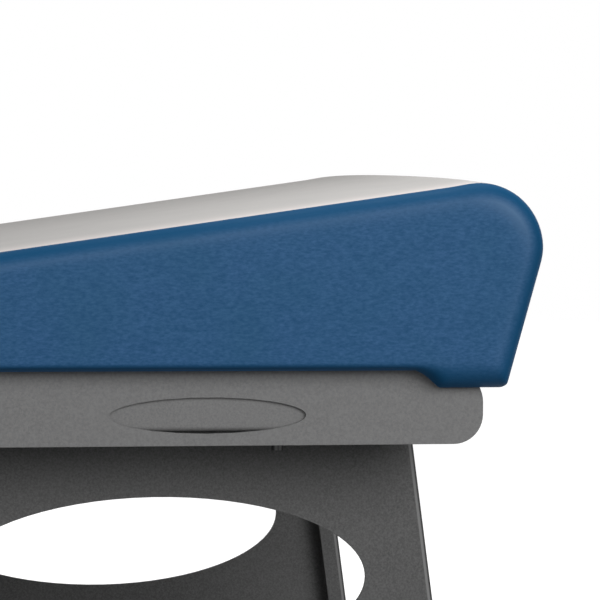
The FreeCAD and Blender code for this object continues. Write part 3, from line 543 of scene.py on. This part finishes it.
def apply_modifiers(thing):
    """Puts what a piece's modifiers make in place of its mesh."""
    evaluated = thing.evaluated_get(bpy.context.evaluated_depsgraph_get())
    made = bpy.data.meshes.new_from_object(evaluated)
    old = thing.data
    thing.modifiers.clear()
    thing.data = made
    bpy.data.meshes.remove(old)


# how far an end face leans in below, how steeply the head end rises, how steeply the cove behind a
# lip falls, and the turn that leaves a cover's edge sharp, in degrees
UNDERCUT = 15.4
WEDGE = 8.41
COVE_SLOPE = 42
COVER_CREASE = 42
WEDGE_START = 398.6 * MM
COVE = 30 * MM
LIP_CORNER = 5 * MM
SEAT_CORNER = 8 * MM
SEAT_HINGE_END = -121 * MM
# the spacing of points down the cove, under the lip, on upright faces and along the top
COVE_STEP = 2 * MM
LIP_STEP = 6 * MM
FACE_STEP = 7 * MM
TOP_STEP = 9 * MM
# the end, side and top of the room that a cover leaves for its board, and of the room in its lip
BOARD_ROOM = (870.2 * MM, 340.2 * MM, 712.2 * MM)
LIP_ROOM = (886.8 * MM, 328 * MM, 701 * MM)


def lip(start, end):
    """The underside of a cushion's end: its cove, its lip and the lip's corner."""
    corner_x = end - LIP_CORNER * math.tan(math.radians(90 - UNDERCUT) / 2)
    points = arc((start, PAD_BOTTOM - COVE), COVE, 90, 90 - COVE_SLOPE, 7)
    x, z = points[-1]
    foot_x = x + (z - LIP_BOTTOM) / math.tan(math.radians(COVE_SLOPE))
    foot_x += LIP_CORNER * math.tan(math.radians(COVE_SLOPE) / 2)
    foot = arc((foot_x, LIP_BOTTOM + LIP_CORNER), LIP_CORNER, -90 - COVE_SLOPE, -90, 4)
    points += line(points[-1], foot[0], COVE_STEP)[1:] + foot
    points += line(foot[-1], (corner_x, LIP_BOTTOM), LIP_STEP)[1:]
    return points + arc((corner_x, LIP_BOTTOM + LIP_CORNER), LIP_CORNER, -90, -UNDERCUT, 7)


def stations(start, stops, step):
    """X places shared by the top and the underside, with a place at each stop."""
    places = [start]
    for stop in stops:
        places += [x for x, _ in line((places[-1], 0), (stop, 0), step)[1:]] + [stop]
    return places


def rooms(way, board_start, lip_start):
    """The room for a board and the room in the lip, each as two opposite corners."""
    return [((way * start, -side, bottom - 1 * MM), (way * end, side, top))
            for start, bottom, (end, side, top) in ((board_start, PAD_BOTTOM, BOARD_ROOM),
                                                    (lip_start - 1 * MM, LIP_BOTTOM, LIP_ROOM))]


def between_seams(outline, nose_seam, hinge_seam):
    """For each point of an outline, whether it is on the top panel, from one seam's point to the other's."""
    first, last = outline.index(nose_seam), outline.index(hinge_seam)
    return [first <= i < last for i in range(len(outline))]


def back_cushion():
    """The head half, with its raised wedge, and a bullnose about the hinge."""
    lip_start, lip_end = 816.5 * MM, 896.2 * MM + SWELL
    spine_end, spine_rise = 850 * MM, 26 * MM
    nose, nose_radius = (872 * MM + SWELL, 797.0 * MM + SWELL * math.tan(math.radians(WEDGE))), 53 * MM
    half = (PAD_TOP - PAD_BOTTOM) / 2
    middle = PAD_BOTTOM + half

    def top(x):
        return PAD_TOP + max(0, x - WEDGE_START) * math.tan(math.radians(WEDGE))

    def spine_place(x):
        x = min(max(x, HINGE_X), spine_end)
        return x, middle + max(0, x - WEDGE_START) / (spine_end - WEDGE_START) * spine_rise

    under = lip(lip_start, lip_end)
    cove_places = [x for x, _ in under if lip_start < x < spine_end]
    places = stations(HINGE_X, [WEDGE_START, lip_start], TOP_STEP) + cove_places + [spine_end]
    face = line(under[-1], arc(nose, nose_radius, -UNDERCUT, 0, 2)[0], FACE_STEP)[1:]
    round_nose = arc(nose, nose_radius, -UNDERCUT, 90 + WEDGE, 26)
    bullnose = arc((HINGE_X, middle), half, 90, 270, 24)[1:-1]
    outline = [(x, PAD_BOTTOM) for x in places if x <= lip_start] + under[1:] + face + round_nose
    outline += [(x, top(x)) for x in reversed(places)] + bullnose
    nose_seam, hinge_seam = round_nose[19], bullnose[2]
    pale = between_seams(outline, nose_seam, hinge_seam)
    spine = [spine_place(x) for x, _ in outline]
    cover = Cover(outline, spine, pale, lip_start).build("back_upholstery", 1)
    hollow(cover, rooms(1, HINGE_X, lip_start))
    finish_cover(cover, "back_section", "back_cushion")


def seat_cushion():
    """The foot half, flat on top and square at the hinge. It is laid out towards +X and turned round."""
    lip_start, lip_end = 831.5 * MM, 911.2 * MM + SWELL
    spine_start, spine_end = -95 * MM, 870 * MM
    board_start = -111.2 * MM
    nose, nose_radius = (885 * MM + SWELL, 740 * MM), 40 * MM
    middle = (PAD_BOTTOM + PAD_TOP) / 2
    corner_x = SEAT_HINGE_END + SEAT_CORNER
    under = lip(lip_start, lip_end)
    cove_places = [x for x, _ in under if lip_start < x < spine_end]
    places = stations(spine_start, [lip_start], TOP_STEP) + cove_places + [spine_end]
    face = line(under[-1], arc(nose, nose_radius, -UNDERCUT, 0, 2)[0], FACE_STEP)[1:]
    round_nose = arc(nose, nose_radius, -UNDERCUT, 90, 24)
    top_corner = arc((corner_x, PAD_TOP - SEAT_CORNER), SEAT_CORNER, 90, 180, 7)
    low_corner = arc((corner_x, PAD_BOTTOM + SEAT_CORNER), SEAT_CORNER, 180, 270, 7)
    square_end = (line((spine_start, PAD_TOP), top_corner[0], FACE_STEP)[1:] + top_corner
                  + line(top_corner[-1], low_corner[0], FACE_STEP)[1:] + low_corner
                  + line(low_corner[-1], (spine_start, PAD_BOTTOM), FACE_STEP)[1:])
    outline = [(x, PAD_BOTTOM) for x in places if x <= lip_start] + under[1:] + face + round_nose
    outline += [(x, PAD_TOP) for x in reversed(places)] + square_end
    nose_seam, hinge_seam = round_nose[17], top_corner[1]
    pale = between_seams(outline, nose_seam, hinge_seam)
    spine = [(min(max(x, spine_start), spine_end), middle) for x, _ in outline]
    cover = Cover(outline, spine, pale, lip_start).build("seat_upholstery", -1)
    hollow(cover, rooms(-1, board_start, lip_start))
    finish_cover(cover, "base", "seat_cushion")


def finish_cover(cover, body, node):
    """Shades a cover and puts it in the place of its plain cushion."""
    cover.data.shade_smooth()
    cover.data.set_sharp_from_angle(angle=math.radians(COVER_CREASE))
    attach(cover, body)
    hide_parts(node)


back_cushion()
seat_cushion()


# ------------------------------------------------- small parts of the making
def add_mesh(name, vertices, faces, finish, body, smooth=True):
    """A piece of one finish that moves with a body."""
    mesh = bpy.data.meshes.new(name)
    mesh.from_pydata([tuple(corner) for corner in vertices], [], faces)
    mesh.materials.append(FINISHES[finish])
    if smooth:
        mesh.shade_smooth()
    made = bpy.data.objects.new(name, mesh)
    bpy.context.scene.collection.objects.link(made)
    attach(made, body)
    return made


# a weld bead's sides, its steps to a ripple, and how far its radius follows the ripples, drifts
# along the bead and tapers off at the ends
BEAD_SIDES = 9
RIPPLE_STEPS = 3
RIPPLE_SHARE = 0.12
DRIFT_SHARE, DRIFT_TURN = 0.06, 0.37
END_STEPS, END_SHARE = 4, 0.3
PEDESTAL_WELD_INSET = 12 * MM
RUNNER_WELD_INSET = 3 * MM
CROSS_TUBE = 40 * MM
CROSS_WELD_INSET = 2 * MM
CROSS_WELD_RADIUS = 1.6 * MM


def bead(start, end, outwards, radius=2.2 * MM, ripple=1.8 * MM):
    """Vertices and faces of one rippled weld bead along a straight corner between two plates."""
    start, end = Vector(start), Vector(end)
    along = (end - start).normalized()
    out = Vector(outwards).normalized()
    side = along.cross(out)
    count = max(2, round((end - start).length / (ripple / RIPPLE_STEPS)))
    vertices, faces = [], []
    for i in range(count + 1):
        spot = start.lerp(end, i / count)
        wave = 1 + RIPPLE_SHARE * math.sin(2 * math.pi * i / RIPPLE_STEPS)
        wave += DRIFT_SHARE * math.sin(i * DRIFT_TURN)
        taper = min(1, min(i, count - i) / END_STEPS + END_SHARE)
        for k in range(BEAD_SIDES):
            angle = 2 * math.pi * k / BEAD_SIDES
            vertices.append(spot + (out * math.cos(angle) + side * math.sin(angle)) * radius * wave * taper)
    for i in range(count):
        for k in range(BEAD_SIDES):
            a, b = i * BEAD_SIDES + k, i * BEAD_SIDES + (k + 1) % BEAD_SIDES
            faces.append((a, b, b + BEAD_SIDES, a + BEAD_SIDES))
    faces.append(tuple(range(BEAD_SIDES))[::-1])
    faces.append(tuple(range(count * BEAD_SIDES, (count + 1) * BEAD_SIDES)))
    return vertices, faces


def add_beads(name, beads, finish):
    """Joins weld beads into one piece."""
    vertices, faces = [], []
    for some_vertices, some_faces in beads:
        first = len(vertices)
        vertices += some_vertices
        faces += [tuple(index + first for index in face) for face in some_faces]
    add_mesh(name, vertices, faces, finish, "base")


def pedestal_welds():
    """Beads along the pedestals' feet and heads, and where the floor's cross tubes meet the runners."""
    beads = []
    for place in ("head", "foot"):
        cap_low, cap_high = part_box("top_cap_" + place)
        for side, sign in (("front", -1), ("rear", 1)):
            low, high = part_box("pedestal_%s_%s" % (place, side))
            y = low.y if sign < 0 else high.y
            for start, end, z, tilt in ((low.x, high.x, low.z, 1), (cap_low.x, cap_high.x, cap_low.z, -1)):
                beads.append(bead((start + PEDESTAL_WELD_INSET, y, z), (end - PEDESTAL_WELD_INSET, y, z),
                                  (0, sign, tilt)))
    run_low, run_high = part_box("runner_front")
    cross_low, cross_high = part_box("floor_cross_tubes")
    width = run_high.y - run_low.y
    for x in (cross_low.x, cross_low.x + width, cross_high.x - width, cross_high.x):
        for y in (run_high.y, -run_high.y):
            beads.append(bead((x, y, run_low.z + RUNNER_WELD_INSET), (x, y, run_high.z - RUNNER_WELD_INSET),
                              (0, -y, 0)))
    add_beads("pedestal_welds", beads, "base_paint")


def frame_welds():
    """Beads over and under each end of the top frame's cross tubes."""
    tubes = np.array([corner.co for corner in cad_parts["cross_tubes"].data.vertices])
    side_y = float(np.abs(tubes[:, 1]).max())
    bottom, top = float(tubes[:, 2].min()), float(tubes[:, 2].max())
    ends = tubes[np.abs(tubes[:, 1]) > side_y - 0.1 * MM]
    faces_x = sorted(set(np.round(ends[:, 0], 4)))
    starts = [x for x in faces_x if min(abs(x - other - CROSS_TUBE) for other in faces_x) > 1 * MM]
    beads = []
    for x in starts:
        first, last = x + CROSS_WELD_INSET, x + CROSS_TUBE - CROSS_WELD_INSET
        for z, tilt in ((bottom, -1), (top, 1)):
            for sign in (-1, 1):
                beads.append(bead((first, sign * side_y, z), (last, sign * side_y, z),
                                  (0, -sign, tilt), CROSS_WELD_RADIUS))
    add_beads("frame_welds", beads, "frame_paint")


TUBE_CORNER = 4 * MM
TUBE_WALL = 2 * MM


def side_tube(node):
    """A drawn tube with rounded corners in place of a square-cornered one."""
    low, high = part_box(node)
    middle = (low + high) / 2
    half = (high - low) / 2

    def ring(x, inset):
        points = []
        radius = TUBE_CORNER - inset
        for start, y_way, z_way in ((0, 1, 1), (90, -1, 1), (180, -1, -1), (270, 1, -1)):
            centre = (middle.y + y_way * (half.y - TUBE_CORNER), middle.z + z_way * (half.z - TUBE_CORNER))
            points += [(x, y, z) for y, z in arc(centre, radius, start, start + 90, 9)]
        return points

    rings = [ring(low.x, 0), ring(high.x, 0), ring(high.x, TUBE_WALL), ring(low.x, TUBE_WALL)]
    count = len(rings[0])
    faces = []
    for r in range(len(rings)):
        after = (r + 1) % len(rings) * count
        for i in range(count):
            j = (i + 1) % count
            faces.append((r * count + i, after + i, after + j, r * count + j))
    made = add_mesh(node + "_rounded", sum(rings, []), faces, "frame_paint", "base", smooth=False)
    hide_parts(node)


# the vinyl turned under a board: its width, how far it hangs below the board, its thickness, how far
# it starts up the board's edge, and the waver of its cut edge and of its pleats
HEM_WIDTH = 28 * MM
HEM_DROP = 0.5 * MM
HEM_THICK = 0.35 * MM
HEM_RISE = 1.5 * MM
HEM_STEP = 9 * MM
HEM_WAVE = 2.2 * MM
HEM_PLEAT, PLEAT_TURN = 0.12 * MM, 1.7
WAVE_RUN = 5
HEM_SEED = 7
LUG_GAP = 3 * MM
# a staple's half length, half width and height
STAPLE = (5 * MM, 0.35 * MM, 0.55 * MM)
STAPLE_PITCH = 32 * MM
STAPLE_ROW = 0.55 * HEM_WIDTH
STAPLE_SCATTER, STAPLE_LEAN = 0.8 * MM, 0.12


def hem(name, strips, body):
    """Vinyl pulled round a board's edge and turned under it: thin strips with a wavy cut edge, each
    with its row of staples. A strip is the start and end of its edge and the direction in from it."""
    vertices, faces, pins, pin_faces = [], [], [], []
    random = np.random.default_rng(HEM_SEED)
    for start, end, inwards in strips:
        start, end, inwards = np.array(start), np.array(end), np.array(inwards)
        length = np.linalg.norm(end - start)
        along = (end - start) / length
        count = max(2, round(length / HEM_STEP))
        drawn = random.normal(0, 1, count + WAVE_RUN)
        wave = np.convolve(drawn, np.ones(WAVE_RUN) / WAVE_RUN, "valid") * HEM_WAVE
        shift = len(vertices)
        for i in range(count + 1):
            spot = start + (end - start) * i / count
            pleat = HEM_PLEAT * math.sin(i * PLEAT_TURN)
            width = HEM_WIDTH + wave[i]
            # (how far in from the board's edge, height from the board's underside)
            section = ((-1.4 * MM, HEM_RISE), (-0.9 * MM, 0.1 * MM), (-0.3 * MM, -0.8 * HEM_DROP),
                       (1 * MM, -HEM_DROP), (0.5 * width, 0.5 * pleat - HEM_DROP),
                       (width, pleat - 0.7 * HEM_DROP))
            for reach, height in section:
                x, y = spot + inwards * reach
                vertices.append((x, y, PAD_BOTTOM + height))
        across = len(section)
        for i in range(count):
            for k in range(across - 1):
                a = shift + i * across + k
                faces.append((a, a + 1, a + across + 1, a + across))
        for i in range(int(length / STAPLE_PITCH)):
            reach = STAPLE_ROW + random.normal(0, STAPLE_SCATTER)
            centre = start + along * STAPLE_PITCH * (i + 0.5) + inwards * reach
            lean = random.normal(0, STAPLE_LEAN)
            way = along * math.cos(lean) + inwards * math.sin(lean)
            crossways = np.array([-way[1], way[0]])
            shift_pin = len(pins)
            for u, v, w in [(u, v, w) for u in (-1, 1) for v in (-1, 1) for w in (0, 1)]:
                x, y = centre + way * u * STAPLE[0] + crossways * v * STAPLE[1]
                pins.append((x, y, PAD_BOTTOM - 0.8 * HEM_DROP - w * STAPLE[2]))
            pin_faces += [tuple(shift_pin + corner for corner in face) for face in BOX_FACES]
    made = add_mesh(name, vertices, faces, "blue_vinyl", body)
    solid = made.modifiers.new("thickness", "SOLIDIFY")
    solid.thickness = HEM_THICK
    solid.offset = 0
    add_mesh(name + "_staples", pins, pin_faces, "zinc_steel", body, smooth=False)


def hems():
    """The turned-under vinyl on each board, left open at the back board's hinge end."""
    for name, node, body, ends in (("back_hem", "back_board", "back_section", (False, True)),
                                   ("seat_hem", "seat_board", "base", (True, True))):
        low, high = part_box(node)
        first = low.x if ends[0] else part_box("pivot_lugs")[1].x + LUG_GAP
        strips = [((first, sign * high.y), (high.x, sign * high.y), (0, -sign)) for sign in (-1, 1)]
        for there, x, way in ((ends[0], low.x, 1), (ends[1], high.x, -1)):
            if there:
                strips.append(((x, low.y + HEM_WIDTH), (x, high.y - HEM_WIDTH), (way, 0)))
        hem(name, strips, body)


STUD_SIDES = 24
STUD_RADIUS = 5 * MM
STUD_PITCH = 1.5 * MM
THREAD_DEPTH = 0.6 * MM
COLLAR_ACROSS = 17 * MM
COLLAR_HEIGHT = 8 * MM
COLLAR_CHAMFER = 0.7 * MM
# the collar's size at its chamfered ends, as a share of its full size
COLLAR_EDGE = 0.93
STUD_CREASE = 35


def foot_stud(number):
    """A foot's threaded stud and its hexagonal collar, in place of the plain ones."""
    node = "foot_stud_%d" % number
    low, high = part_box(node)
    centre = (low + high) / 2
    angles = [2 * math.pi * k / STUD_SIDES for k in range(STUD_SIDES)]
    sixth = math.pi / 3
    hexagon = [COLLAR_ACROSS / 2 / math.cos(a % sixth - sixth / 2) for a in angles]
    collar_top = low.z + COLLAR_HEIGHT
    levels = [(low.z, COLLAR_EDGE), (low.z + COLLAR_CHAMFER, 1),
              (collar_top - COLLAR_CHAMFER, 1), (collar_top, COLLAR_EDGE)]
    rings = [(z, [share * radius for radius in hexagon]) for z, share in levels]
    steps = round((high.z - collar_top) / (STUD_PITCH / 4))
    for step in range(steps + 1):
        z = collar_top + (high.z - collar_top) * step / steps
        turns = [(z / STUD_PITCH - k / STUD_SIDES) % 1 for k in range(STUD_SIDES)]
        rings.append((z, [STUD_RADIUS - THREAD_DEPTH * abs(2 * turn - 1) for turn in turns]))
    vertices = [(centre.x + radius * math.cos(a), centre.y + radius * math.sin(a), z)
                for z, radii in rings for a, radius in zip(angles, radii)]
    faces = [tuple(range(STUD_SIDES))[::-1], tuple(range(len(vertices) - STUD_SIDES, len(vertices)))]
    for r in range(len(rings) - 1):
        for k in range(STUD_SIDES):
            a, b = r * STUD_SIDES + k, r * STUD_SIDES + (k + 1) % STUD_SIDES
            faces.append((a, b, b + STUD_SIDES, a + STUD_SIDES))
    made = add_mesh("foot_thread_%d" % number, vertices, faces, "zinc_steel", "foot_%d" % number)
    made.data.set_sharp_from_angle(angle=math.radians(STUD_CREASE))
    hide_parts(node)


side_tube("side_tube_front")
side_tube("side_tube_rear")
for foot in (1, 2, 3, 4):
    foot_stud(foot)
pedestal_welds()
frame_welds()
hems()


# ---------------------------------------------------------------------- scene
CAMERA_PLACE = (0.3208, -2.700, 0.867)
CAMERA_LENS = 180.68
CAMERA_TURNED, CAMERA_DOWN, CAMERA_ROLLED = -9.8064, 2.6556, 0.4782


def camera():
    """A level view from the front, turned, tipped and rolled by the three angles in degrees."""
    data = bpy.data.cameras.new("camera")
    data.lens = CAMERA_LENS
    data.sensor_width = 36
    data.clip_end = 200
    made = bpy.data.objects.new("camera", data)
    bpy.context.scene.collection.objects.link(made)
    made.location = CAMERA_PLACE
    turn = Matrix.Identity(4)
    for angle, axis in ((CAMERA_TURNED, "Z"), (90 - CAMERA_DOWN, "X"), (CAMERA_ROLLED, "Z")):
        turn = turn @ Matrix.Rotation(math.radians(angle), 4, axis)
    made.rotation_euler = turn.to_euler()
    bpy.context.scene.camera = made


def shown_rays(tree):
    """1 for the rays that show a background as it is: straight to the camera, mirrored or through glass."""
    path = tree.nodes.new("ShaderNodeLightPath")
    total = path.outputs["Is Camera Ray"]
    for name in ("Is Glossy Ray", "Is Transmission Ray"):
        step = tree.nodes.new("ShaderNodeMath")
        step.operation = "MAXIMUM"
        tree.links.new(total, step.inputs[0])
        tree.links.new(path.outputs[name], step.inputs[1])
        total = step.outputs[0]
    return total


def backdrop():
    """A white surround for the camera and for mirrored light, and a soft grey one for the rest."""
    world = bpy.data.worlds.new("studio")
    bpy.context.scene.world = world
    world.use_nodes = True
    tree = world.node_tree
    shown = tree.nodes["Background"]
    shown.inputs["Color"].default_value = (1, 1, 1, 1)
    shown.inputs["Strength"].default_value = 1.0
    lighting = tree.nodes.new("ShaderNodeBackground")
    lighting.inputs["Color"].default_value = (1, 1, 1, 1)
    lighting.inputs["Strength"].default_value = 0.15
    mix = tree.nodes.new("ShaderNodeMixShader")
    tree.links.new(shown_rays(tree), mix.inputs[0])
    tree.links.new(lighting.outputs[0], mix.inputs[1])
    tree.links.new(shown.outputs[0], mix.inputs[2])
    tree.links.new(mix.outputs[0], tree.nodes["World Output"].inputs["Surface"])


def floor():
    """A pale floor that brightens into the backdrop away from the table."""
    bpy.ops.mesh.primitive_circle_add(vertices=96, radius=14, fill_type="NGON", location=(0, 0, 0))
    made = bpy.context.object
    made.name = "floor"
    material = bpy.data.materials.new("pale_floor")
    material.use_nodes = True
    tree = material.node_tree
    shader = tree.nodes["Principled BSDF"]
    shader.inputs["Base Color"].default_value = (0.22, 0.22, 0.22, 1)
    shader.inputs["Roughness"].default_value = 0.9
    shader.inputs["Specular IOR Level"].default_value = 0.1
    shader.inputs["Emission Color"].default_value = (1, 1, 1, 1)
    distance = tree.nodes.new("ShaderNodeVectorMath")
    distance.operation = "LENGTH"
    tree.links.new(tree.nodes.new("ShaderNodeTexCoord").outputs["Object"], distance.inputs[0])
    fade = tree.nodes.new("ShaderNodeMapRange")
    fade.interpolation_type = "SMOOTHSTEP"
    tree.links.new(distance.outputs["Value"], fade.inputs["Value"])
    for socket, value in (("From Min", 0.8), ("From Max", 2.6), ("To Min", 0.78), ("To Max", 1.0)):
        fade.inputs[socket].default_value = value
    glow = tree.nodes.new("ShaderNodeMath")
    glow.operation = "MULTIPLY"
    tree.links.new(fade.outputs["Result"], glow.inputs[1])
    tree.links.new(shown_rays(tree), glow.inputs[0])
    tree.links.new(glow.outputs[0], shader.inputs["Emission Strength"])
    made.data.materials.append(material)


def lamp(name, place, target, width, height, power):
    """An elliptical light that faces a target, with its power in watts."""
    data = bpy.data.lights.new(name, "AREA")
    data.shape = "ELLIPSE"
    data.size = width
    data.size_y = height
    data.energy = power
    made = bpy.data.objects.new(name, data)
    bpy.context.scene.collection.objects.link(made)
    made.location = place
    made.rotation_euler = (Vector(target) - Vector(place)).to_track_quat("-Z", "Y").to_euler()


camera()
backdrop()
floor()
lamp("key", place=(2.3, -3.7, 2.2), target=(0.3, 0, 0.7), width=3.2, height=2.6, power=138)
lamp("fill", place=(-0.9, -4.0, 2.3), target=(0.3, 0, 0.7), width=4.0, height=2.6, power=31)
lamp("left", place=(-3.6, -2.2, 0.9), target=(0, 0, 0.5), width=2.0, height=2.0, power=18)
lamp("overhead", place=(0.7, 0.4, 3.6), target=(0.3, 0, 0.7), width=2.4, height=2.4, power=22)
lamp("near", place=(0.85, -0.36, 1.45), target=(0.75, -0.3, 0.7), width=0.4, height=0.4, power=3.0)
lamp("right", place=(2.8, 3.6, 1.2), target=(0, 0, 0.5), width=2.0, height=2.0, power=30)
lamp("back", place=(-0.6, 4.5, 2.0), target=(0, 0, 0.6), width=3.0, height=2.4, power=70)
bpy.context.scene.view_settings.view_transform = "Standard"
